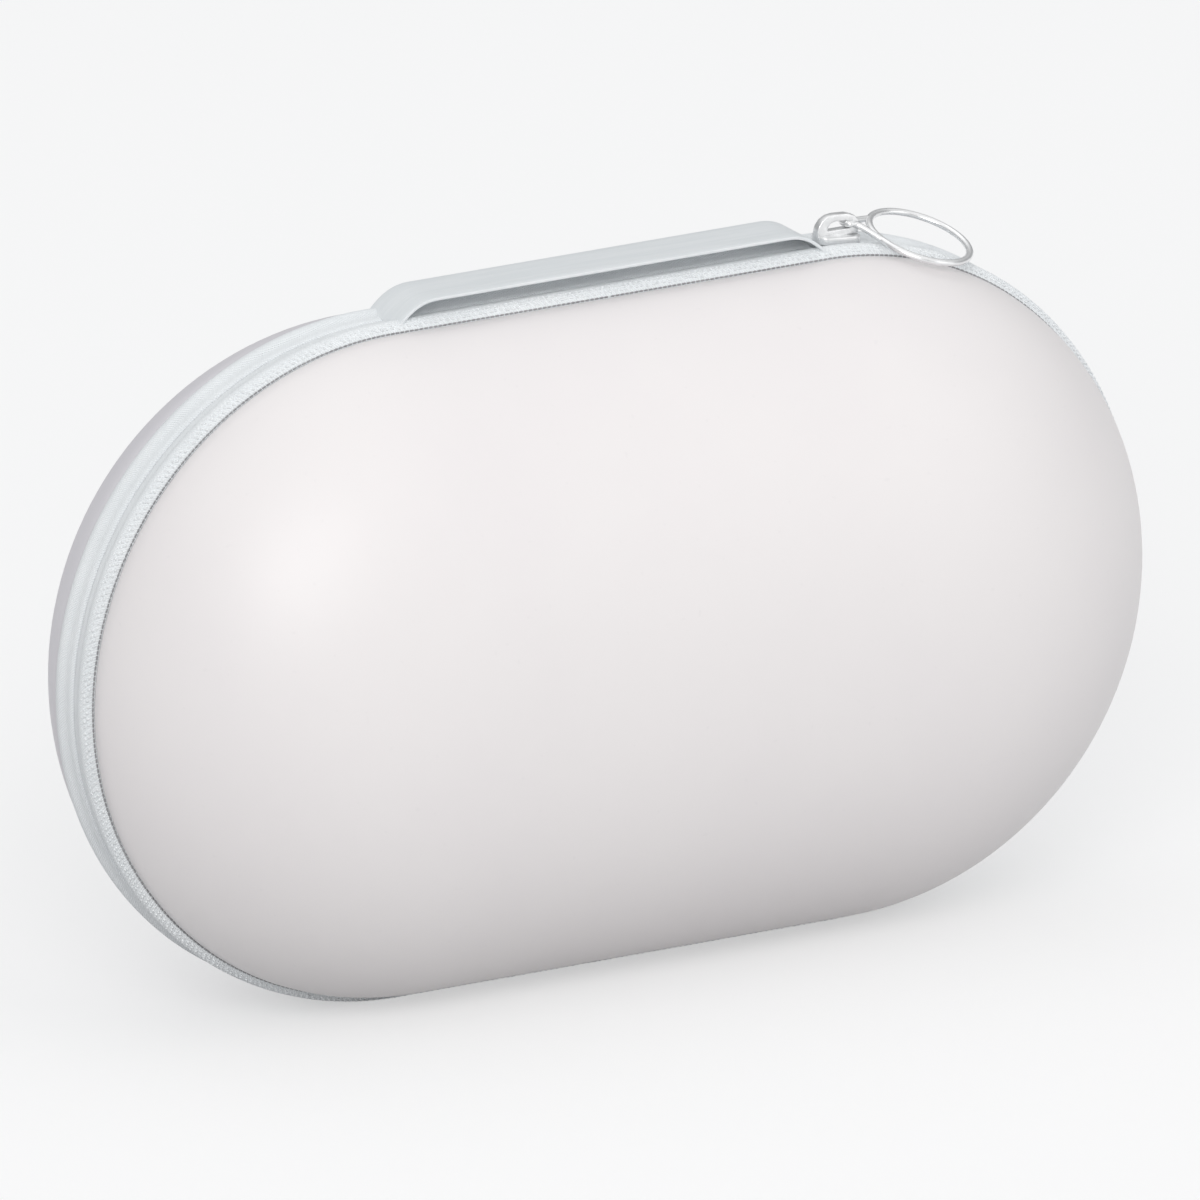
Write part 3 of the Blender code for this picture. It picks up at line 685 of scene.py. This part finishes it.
def buildStrap():
    bend = strap["footHalf"] - strap["flatHalf"]
    base = topZ + strap["footLift"]
    rise = strap["rise"] - strap["footLift"]
    right = []
    for i in range(strap["bendParts"] + 1):
        along = i / strap["bendParts"]
        right.append((strap["flatHalf"] + bend * along, base + rise * (1 - along ** strap["bendPower"])))
    line = [(strap["shift"] - x, z) for x, z in reversed(right)] + [(strap["shift"] + x, z) for x, z in right]
    near = -strap["width"] / 2
    points = [Vector((x, near, z)) for x, z in line]
    piece = drawLine("handle_strap_sheet", points)
    bpy.ops.mesh.select_all(action="SELECT")
    for _ in range(strap["acrossParts"]):
        step = (0, strap["width"] / strap["acrossParts"], 0)
        bpy.ops.mesh.extrude_region_move(TRANSFORM_OT_translate={"value": step})
    bpy.ops.mesh.select_all(action="SELECT")
    bpy.ops.mesh.normals_make_consistent(inside=False)
    bpy.ops.object.mode_set(mode="OBJECT")
    facing = sum(face.normal.z for face in piece.data.polygons)
    if facing < 0:
        edit(piece)
        bpy.ops.mesh.select_all(action="SELECT")
        bpy.ops.mesh.flip_normals()
        bpy.ops.object.mode_set(mode="OBJECT")
    applyModifier(piece, "SOLIDIFY", {"thickness": strap["thickness"], "offset": 1.0, "use_even_offset": True})
    applyModifier(piece, "BEVEL", {"width": strap["edgeRound"], "segments": 3, "limit_method": "ANGLE",
                                   "angle_limit": radians(50)})
    return settle(piece, 40)


handleStrap = buildStrap()
dress(handleStrap, strapSheet, "lid", "strap_sheet", "handle_strap")
print("strap ready")


# Inside: linings, bindings, zip coils and elastic loops

inside = {
    "liningOut": 0.0038, "liningIn": 0.0046, "bindOuter": 0.0611, "bindInner": 0.0570, "bindNear": 0.00475,
    "bindFar": 0.00635, "bindRound": 0.0003, "coilRadius": 0.0605, "coilPitch": 0.0013, "coilAcross": 0.0014,
    "coilWire": 0.0002, "coilReach": 0.0008, "coilTall": 0.0004, "liningBlank": (0.27, 0.18), "liningSteps": 16,
    "areaSteps": 24,
}


def domeArea(inset):
    line = domeLine(inset, inside["areaSteps"])
    area = 0
    for (nearR, nearD), (farR, farD) in zip(line, line[1:]):
        step = sqrt((farR - nearR) ** 2 + (farD - nearD) ** 2)
        area += step * (pi * (nearR + farR) + 4 * case["straightHalf"])
    return area


def buildLining(name, side):
    edge = case["shellEdge"]
    line = domeLine(inside["liningIn"], inside["liningSteps"])[::-1]
    line += domeLine(inside["liningOut"], inside["liningSteps"])
    section = [(radius, side * (edge + depth)) for radius, depth in line]
    piece = settle(runRim(name, section, False, "whole", 48), 50)
    area = domeArea(inside["liningOut"])
    return piece


def buildBinding(name, side):
    near, far = side * inside["bindNear"], side * inside["bindFar"]
    nip = inside["bindRound"]
    low, high = inside["bindInner"], inside["bindOuter"]
    section = [(low, near + side * nip), (low + nip, near), (high - nip, near), (high, near + side * nip)]
    section += [(high, far - side * nip), (high - nip, far), (low + nip, far), (low, far - side * nip)]
    return settle(runRim(name, section, True, "whole", 72), 60)


def buildCoil(name, side):
    # one turn of the coil, leaning to meet the next
    deselectAll()
    bpy.ops.mesh.primitive_torus_add(major_segments=10, minor_segments=4, major_radius=inside["coilReach"],
                                     minor_radius=inside["coilWire"], rotation=(0, pi / 2, 0))
    turn = newest("coil_turn")
    bpy.ops.object.transform_apply(rotation=True)
    edit(turn)
    bpy.ops.mesh.select_all(action="SELECT")
    bpy.ops.transform.resize(value=(1, 1, inside["coilTall"] / inside["coilReach"]), center_override=(0, 0, 0))
    pickVerts(turn, lambda p: p.z > 0)
    bpy.ops.transform.translate(value=(inside["coilPitch"] / 2, 0, 0))
    bpy.ops.object.mode_set(mode="OBJECT")
    count = int((rimLength - 2 * spineHalf) / inside["coilPitch"])
    spots = [(spineHalf + (i + 0.5) * inside["coilPitch"], inside["coilRadius"], side * inside["coilAcross"], 0.0,
              (1.0, 1.0, 1.0)) for i in range(count)]
    return copyRound(turn, name, spots)


loop = {
    "thickness": 0.0009, "edgeRound": 0.0002, "archParts": 24, "acrossParts": 8, "top": 0.02885,
    # first and last x, radius of the arch, depth of the feet
    "handle": (-0.043, -0.021, 0.015, 0.0392), "neck": (0.045, 0.059, 0.010, 0.0398),
}


def buildLoop(name, size):
    # an elastic band round an arch, from the lining out to y = top, foot to foot
    near, far, arch, foot = size
    top, parts = loop["top"], loop["archParts"]
    line = [(foot, -arch)]
    line += [(top - arch * sin(pi * i / parts), -arch * cos(pi * i / parts)) for i in range(parts + 1)]
    line.append((foot, arch))
    piece = drawLine(name, [Vector((near, y, centreZ + z)) for y, z in line])
    bpy.ops.mesh.select_all(action="SELECT")
    for _ in range(loop["acrossParts"]):
        step = ((far - near) / loop["acrossParts"], 0, 0)
        bpy.ops.mesh.extrude_region_move(TRANSFORM_OT_translate={"value": step})
    bpy.ops.object.mode_set(mode="OBJECT")
    applyModifier(piece, "SOLIDIFY", {"thickness": loop["thickness"], "offset": 0.0, "use_even_offset": True})
    applyModifier(piece, "BEVEL", {"width": loop["edgeRound"], "segments": 2, "limit_method": "ANGLE",
                                   "angle_limit": radians(60)})
    mergeAndTurnOut(piece)
    return settle(piece, 40)


frontLining = buildLining("front_lining_cloth", -1)
dress(frontLining, liningCloth, "lid", "lining_cloth", "front_lining")
rearLining = buildLining("rear_lining_cloth", 1)
dress(rearLining, liningCloth, "rear_half", "lining_cloth", "rear_lining")
frontBinding = buildBinding("front_binding_tape", -1)
dress(frontBinding, bindingTape, "lid", "binding_cloth", "front_binding")
rearBinding = buildBinding("rear_binding_tape", 1)
dress(rearBinding, bindingTape, "rear_half", "binding_cloth", "rear_binding")
frontCoil = buildCoil("front_coil_turns", -1)
dress(frontCoil, coilNylon, "lid", "coil_nylon", "front_zipper_coil")
rearCoil = buildCoil("rear_coil_turns", 1)
dress(rearCoil, coilNylon, "rear_half", "coil_nylon", "rear_zipper_coil")
handleLoop = buildLoop("handle_loop_elastic", loop["handle"])
dress(handleLoop, elasticWeb, "rear_half", "elastic_webbing", "handle_loop")
neckLoop = buildLoop("neck_loop_elastic", loop["neck"])
dress(neckLoop, elasticWeb, "rear_half", "elastic_webbing", "neck_loop")
print("inside ready")

# Net pocket and its hem

net = {
    "radius": 0.05575, "y": -0.01305, "top": 0.0164, "hemTop": 0.0227, "cell": 0.0042, "strand": 0.00045,
    "rows": 18, "cut": 0.6, "drawn": 0.3, "hemParts": 260, "hemRows": 6, "hemThick": 0.0009,
    # depth, length, drift and fading of the hem's gathers
    "gather": 0.0003, "gatherPitch": 0.0031, "gatherDrift": 90, "gatherFade": 9,
}


def netEdge(place):
    # how far a point lies outside the pocket's round outline
    past = max(0.0, abs(place.x) - case["straightHalf"])
    return sqrt(past ** 2 + (place.z - centreZ) ** 2) - net["radius"]


def buildNet():
    across = round(2 * (case["straightHalf"] + net["radius"]) / net["cell"])
    deselectAll()
    bpy.ops.mesh.primitive_grid_add(x_subdivisions=across, y_subdivisions=net["rows"], size=1, rotation=(pi / 2, 0, 0),
                                    location=(0, net["y"], centreZ + (net["top"] - net["radius"]) / 2))
    piece = newest("pocket_net_strands")
    piece.scale = (across * net["cell"], net["radius"] + net["top"], 1)
    bpy.ops.object.transform_apply(location=True, rotation=True, scale=True)
    edit(piece)
    bpy.ops.mesh.select_all(action="SELECT")
    bpy.ops.mesh.poke()
    pickEdges(piece, lambda a, b: abs(a.x - b.x) < 0.00001 or abs(a.z - b.z) < 0.00001)
    shape = bmesh.from_edit_mesh(piece.data)
    for edge in shape.edges:
        edge.select = edge.select and not edge.is_boundary
    bpy.ops.mesh.dissolve_edges()
    pickVerts(piece, lambda p: netEdge(p) > net["cut"] * net["cell"])
    bpy.ops.mesh.delete(type="VERT")
    shape = bmesh.from_edit_mesh(piece.data)
    for vert in shape.verts:
        # the last ring of knots is drawn on to the outline
        out = netEdge(vert.co)
        if out > -net["drawn"] * net["cell"]:
            middle = Vector((max(-case["straightHalf"], min(case["straightHalf"], vert.co.x)), vert.co.y, centreZ))
            vert.co -= (vert.co - middle).normalized() * out
    bmesh.update_edit_mesh(piece.data)
    bpy.ops.object.mode_set(mode="OBJECT")
    applyModifier(piece, "WIREFRAME", {"thickness": net["strand"], "use_even_offset": False})
    return settle(piece, 60)


def buildHem():
    # elastic in a gathered tunnel along the pocket's mouth
    reach = case["straightHalf"] + sqrt(net["radius"] ** 2 - net["hemTop"] ** 2)
    deselectAll()
    bpy.ops.mesh.primitive_grid_add(x_subdivisions=net["hemParts"], y_subdivisions=net["hemRows"], size=1,
                                    location=(0, net["y"], centreZ + (net["top"] + net["hemTop"]) / 2),
                                    rotation=(pi / 2, 0, 0))
    piece = newest("pocket_hem_gathered")
    piece.scale = (2 * reach, net["hemTop"] - net["top"], 1)
    bpy.ops.object.transform_apply(location=True, rotation=True, scale=True)
    for vert in piece.data.vertices:
        high = (vert.co.z - centreZ - net["top"]) / (net["hemTop"] - net["top"])
        wave = vert.co.x * 2 * pi / net["gatherPitch"] + sin(vert.co.x * net["gatherDrift"])
        vert.co.y += net["gather"] * sin(wave) * (0.5 + 0.5 * cos(high * net["gatherFade"]))
    applyModifier(piece, "SOLIDIFY", {"thickness": net["hemThick"], "offset": 0.0})
    return settle(piece, 50)


hem = buildHem()
dress(hem, bindingTape, "lid", "binding_cloth", "pocket_hem")
pocketNet = buildNet()
dress(pocketNet, netStrand, "lid", "net_cloth", "pocket_net")
print("net ready")


# Spine's lining, a strip under its board

spineStrip = {"fill": 0.9, "edgeRound": 0.0001, "parts": 60, "rows": 8}


def buildSpineLining():
    corners = [nodes["spine_lining"].matrix_world @ Vector(c) for c in nodes["spine_lining"].bound_box]
    low = [min(c[i] for c in corners) for i in range(3)]
    high = [max(c[i] for c in corners) for i in range(3)]
    deselectAll()
    bpy.ops.mesh.primitive_grid_add(x_subdivisions=spineStrip["parts"], y_subdivisions=spineStrip["rows"], size=1,
                                    location=[(a + b) / 2 for a, b in zip(low, high)])
    piece = newest("spine_lining_cloth")
    piece.scale = (high[0] - low[0], high[1] - low[1], 1)
    bpy.ops.object.transform_apply(location=True, scale=True)
    applyModifier(piece, "SOLIDIFY", {"thickness": (high[2] - low[2]) * spineStrip["fill"], "offset": 0.0})
    applyModifier(piece, "BEVEL", {"width": spineStrip["edgeRound"], "segments": 2, "limit_method": "ANGLE",
                                   "angle_limit": radians(60)})
    return settle(piece, 40)


spineLining = buildSpineLining()
dress(spineLining, liningCloth, "lid", "lining_cloth", "spine_lining")


# Slider: a rounded plate, a D-shaped crown with its window, a post and a lower plate

parkAngle = radians(4.813)
park = Matrix.Translation(rightCentre) @ Matrix.Rotation(parkAngle, 4, "Y") @ Matrix.Translation(-rightCentre)
slider = {
    "plateLength": 0.0085, "plateWidth": 0.0051, "plateLow": 0.12788, "plateHigh": 0.12925,
    "crown": ((0.04605, 0.1288), (0.04605, 0.1302), (0.0464, 0.13115), (0.0472, 0.13215), (0.0484, 0.1328),
              (0.0498, 0.13297), (0.05235, 0.1328), (0.0538, 0.1323), (0.0546, 0.1314), (0.0546, 0.1288)),
    "window": ((0.0482, 0.13005), (0.0483, 0.1308), (0.0489, 0.13145), (0.0498, 0.1317), (0.0521, 0.13155),
               (0.0529, 0.131), (0.0529, 0.13005)),
    "crownHalf": 0.00092, "round": 0.00018, "cornerRound": 0.0015, "postHalf": 0.0012, "postWide": 0.00013,
    "postSink": 0.0002, "lowerHigh": 0.12365, "lowerThick": 0.0011,
}


def prism(name, outline, near, far):
    piece = drawLine(name, [Vector((x, near, z)) for x, z in outline], True)
    bpy.ops.mesh.select_all(action="SELECT")
    bpy.ops.mesh.edge_face_add()
    bpy.ops.mesh.extrude_region_move(TRANSFORM_OT_translate={"value": (0, far - near, 0)})
    bpy.ops.object.mode_set(mode="OBJECT")
    mergeAndTurnOut(piece)
    return piece


def block(name, low, high):
    deselectAll()
    bpy.ops.mesh.primitive_cube_add(size=1, location=[(a + b) / 2 for a, b in zip(low, high)],
                                    scale=[b - a for a, b in zip(low, high)])
    piece = newest(name)
    bpy.ops.object.transform_apply(location=True, scale=True)
    return piece


def roundEdges(piece, width, segments=3):
    applyModifier(piece, "BEVEL", {"width": width, "segments": segments, "limit_method": "ANGLE",
                                   "angle_limit": radians(30)})


def buildSlider():
    half = slider["crownHalf"]
    crown = prism("slider_crown", slider["crown"], -half, half)
    hole = prism("slider_window", slider["window"], -2 * half, 2 * half)
    applyModifier(crown, "BOOLEAN", {"operation": "DIFFERENCE", "object": hole, "solver": "EXACT"})
    bpy.data.objects.remove(hole)
    roundEdges(crown, slider["round"])
    mid = case["straightHalf"]
    long, wide = slider["plateLength"] / 2, slider["plateWidth"] / 2
    low, high = slider["plateLow"], slider["plateHigh"]
    plate = block("slider_plate", (mid - long, -wide, low), (mid + long, wide, high))
    edit(plate)
    pickEdges(plate, lambda a, b: abs(a.z - b.z) > (high - low) / 2)
    bpy.ops.mesh.bevel(offset=slider["cornerRound"], segments=5, affect="EDGES")
    bpy.ops.object.mode_set(mode="OBJECT")
    roundEdges(plate, slider["round"])
    under = slider["lowerHigh"]
    lower = block("slider_lower", (mid - long, -wide, under - slider["lowerThick"]), (mid + long, wide, under))
    roundEdges(lower, slider["round"])
    sink, thin = slider["postSink"], slider["postWide"]
    post = block("slider_post", (mid - slider["postHalf"], -thin, under - sink),
                 (mid + slider["postHalf"], thin, low + sink))
    for piece in (plate, lower, post):
        piece.matrix_world = park @ piece.matrix_world
        settle(piece)
    return settle(joinAll([crown, plate, lower, post], "slider_cast"), 35)


sliderCast = buildSlider()
dress(sliderCast, castMetal, "slider", "cast_metal", "slider_body")


# Pull: a ring whose two arms hook through the crown's window

pull = {
    "pivot": (0.04645, 0, 0.13125), "reach": 0.0146, "side": -0.0025, "drop": -0.0031, "pitch": radians(9.2),
    "roll": radians(14), "ringRadius": 0.00967, "wire": 0.0007, "flat": 0.86, "armWire": 0.0006,
    "spread": radians(27),
    # where an arm passes, seen from the pivot: outside the crown, then at its window
    "armOver": (0.0021, 0.00165, -0.0002), "armBend": (0.0004, 0.00145, 0.00005),
}


def pullPlace():
    hook = park @ Matrix.Translation(pull["pivot"])
    lay = Matrix.Translation((pull["reach"], pull["side"], pull["drop"])) @ Matrix.Rotation(pull["pitch"], 4, "Y")
    lay = lay @ Matrix.Rotation(pull["roll"], 4, "X")
    lay = lay @ Matrix.Rotation(atan2(pull["side"], pull["reach"]), 4, "Z")
    return hook, hook @ lay


def smoothPath(points, parts=8):
    # an even curve through all the points
    ends = [points[0] * 2 - points[1]] + points + [points[-1] * 2 - points[-2]]
    path = []
    for a, b, c, d in zip(ends, ends[1:], ends[2:], ends[3:]):
        for i in range(parts):
            t = i / parts
            square, cube = 2 * a - 5 * b + 4 * c - d, 3 * b - a - 3 * c + d
            path.append(0.5 * (2 * b + (c - a) * t + square * t * t + cube * t ** 3))
    return path + [points[-1]]


def tube(name, points, radius, sides=3):
    piece = drawLine(name, points)
    bpy.ops.object.mode_set(mode="OBJECT")
    bpy.ops.object.convert(target="CURVE")
    piece = bpy.context.object
    piece.data.bevel_depth = radius
    piece.data.bevel_resolution = sides
    piece.data.use_fill_caps = True
    bpy.ops.object.convert(target="MESH")
    return newest(name)


def buildPull():
    hook, ring = pullPlace()
    deselectAll()
    bpy.ops.mesh.primitive_torus_add(major_segments=96, minor_segments=12, major_radius=pull["ringRadius"],
                                     minor_radius=pull["wire"])
    hoop = newest("pull_hoop")
    edit(hoop)
    bpy.ops.mesh.select_all(action="SELECT")
    bpy.ops.transform.resize(value=(1, 1, pull["flat"]), center_override=(0, 0, 0))
    bpy.ops.object.mode_set(mode="OBJECT")
    hoop.matrix_world = ring
    settle(hoop)
    route = []
    for side in (-1, 1):
        angle = pi + side * -pull["spread"]
        meet = ring @ Vector((pull["ringRadius"] * cos(angle), pull["ringRadius"] * sin(angle), 0))
        arm = [meet]
        for x, y, z in (pull["armOver"], pull["armBend"]):
            arm.append(hook @ Vector((x, side * y, z)))
        route.append(arm if side < 0 else arm[::-1])
    points = smoothPath(route[0] + [hook @ Vector((0, 0, 0))] + route[1])
    arms = settle(tube("pull_arms", points, pull["armWire"]))
    return settle(joinAll([hoop, arms], "pull_cast"), 40)


pullCast = buildPull()
dress(pullCast, castMetal, "pull", "cast_metal", "pull_ring")
plainNodes = {"spine_board": boardPlastic, "zipper_stop_left": castMetal, "zipper_stop_right": castMetal}
for name, material in plainNodes.items():
    nodes[name].data.materials.clear()
    nodes[name].data.materials.append(material)
print("slider and pull ready")


# Camera, floor and light

view = {
    "azimuth": radians(-28.52), "elevation": radians(17.54), "roll": radians(-0.64),
    "width": 0.2184, "lens": 1600.0, "sensor": 36.0, "right": 0.000537, "up": 0.002858,
}


def placeCamera():
    turn = Matrix.Rotation(view["azimuth"], 4, "Z")
    turn = turn @ Matrix.Rotation(pi / 2 - view["elevation"], 4, "X") @ Matrix.Rotation(view["roll"], 4, "Z")
    away = view["width"] * view["lens"] / view["sensor"]
    target = Vector((0, 0, centreZ)) + turn.to_3x3() @ Vector((view["right"], view["up"], 0))
    data = bpy.data.cameras.new("camera")
    data.lens = view["lens"]
    data.sensor_width = view["sensor"]
    data.clip_end = 50
    camera = bpy.data.objects.new("camera", data)
    bpy.context.scene.collection.objects.link(camera)
    camera.matrix_world = Matrix.Translation(target + turn.to_3x3() @ Vector((0, 0, away))) @ turn
    bpy.context.scene.camera = camera


placeCamera()

light = {
    "world": (0.97, 0.985, 1.0), "worldStrength": 0.66,
    "backdrop": (0.945, 0.942, 0.94), "wall": (0.36, 0.365, 0.37), "ceiling": (1.0, 1.0, 1.0),
    "wallTop": 0.35, "ceilingFrom": 0.75,
    "floorSeen": (0.97, 0.97, 0.97), "floorGlow": (0.97, 0.97, 0.972), "glowShare": 0.5,
    "floorBounce": (0.52, 0.522, 0.528),
    "lamps": (
        ("key", (-2.3, -3.8, 2.5), 2.6, 112.0, (1.0, 0.988, 0.975)),
        ("fill", (3.2, -3.8, 1.3), 3.8, 50.0, (1.0, 0.995, 0.985)),
        ("top", (0.2, 2.0, 5.0), 4.0, 20.0, (1.0, 1.0, 1.0)),
    ),
}


def addLamp(name, place, size, power, color):
    data = bpy.data.lights.new(name, "AREA")
    data.size = size
    data.energy = power
    data.color = color
    lamp = bpy.data.objects.new(name, data)
    bpy.context.scene.collection.objects.link(lamp)
    lamp.location = place
    lamp.rotation_euler = (Vector((0, 0, 0.05)) - Vector(place)).to_track_quat("-Z", "Y").to_euler()


for lamp in light["lamps"]:
    addLamp(*lamp)


def seenDirectly(start):
    # 1 where the camera, a mirror reflection or glass looks, 0 for light that spreads
    path = start.tree.nodes.new("ShaderNodeLightPath")
    camera = Wire(start.tree, path.outputs["Is Camera Ray"])
    glossy = Wire(start.tree, path.outputs["Is Glossy Ray"])
    glass = Wire(start.tree, path.outputs["Is Transmission Ray"])
    return start.math("MINIMUM", camera + glossy + glass, 1.0)


def paintWorld():
    world = bpy.data.worlds.new("studio")
    bpy.context.scene.world = world
    world.use_nodes = True
    start = Wire(world.node_tree, None)
    lit = start.node("ShaderNodeBackground", {}, {"Color": opaque(light["world"]), "Strength": light["worldStrength"]})
    plain = start.node("ShaderNodeBackground", {}, {"Color": opaque(light["backdrop"]), "Strength": 1.0})
    # metal mirrors a pale ceiling and grey walls
    parts = start.node("ShaderNodeSeparateXYZ", {}, {0: start.node("ShaderNodeTexCoord")})
    height = Wire(start.tree, parts.socket.node.outputs[2])
    share = start.span(height, light["wallTop"], light["ceilingFrom"])
    wall = start.blend(share, opaque(light["wall"]), opaque(light["ceiling"]))
    room = start.node("ShaderNodeBackground", {}, {"Color": wall, "Strength": 1.0})
    mirrored = Wire(start.tree, start.tree.nodes.new("ShaderNodeLightPath").outputs["Is Glossy Ray"])
    seen = start.node("ShaderNodeMixShader", {}, {0: mirrored, 1: plain, 2: room})
    both = start.node("ShaderNodeMixShader", {}, {0: seenDirectly(start), 1: lit, 2: seen})
    world.node_tree.links.new(both.socket, world.node_tree.nodes["World Output"].inputs["Surface"])


def paintFloor():
    made = bpy.data.materials.new("floorPaint")
    made.use_nodes = True
    tree = made.node_tree
    tree.nodes.remove(tree.nodes["Principled BSDF"])
    start = Wire(tree, None)
    paper = start.node("ShaderNodeBsdfDiffuse", {}, {"Color": opaque(light["floorSeen"])})
    glow = start.node("ShaderNodeEmission", {}, {"Color": opaque(light["floorGlow"])})
    seen = start.node("ShaderNodeMixShader", {}, {0: light["glowShare"], 1: paper, 2: glow})
    bounce = start.node("ShaderNodeBsdfDiffuse", {}, {"Color": opaque(light["floorBounce"])})
    both = start.node("ShaderNodeMixShader", {}, {0: seenDirectly(start), 1: bounce, 2: seen})
    tree.links.new(both.socket, tree.nodes["Material Output"].inputs["Surface"])
    return made


paintWorld()
bpy.ops.object.select_all(action="DESELECT")
bpy.ops.mesh.primitive_grid_add(x_subdivisions=4, y_subdivisions=4, size=16)
floor = newest("floor")
floor.data.materials.append(paintFloor())

bpy.context.scene.view_settings.view_transform = "Standard"

print("scene ready")
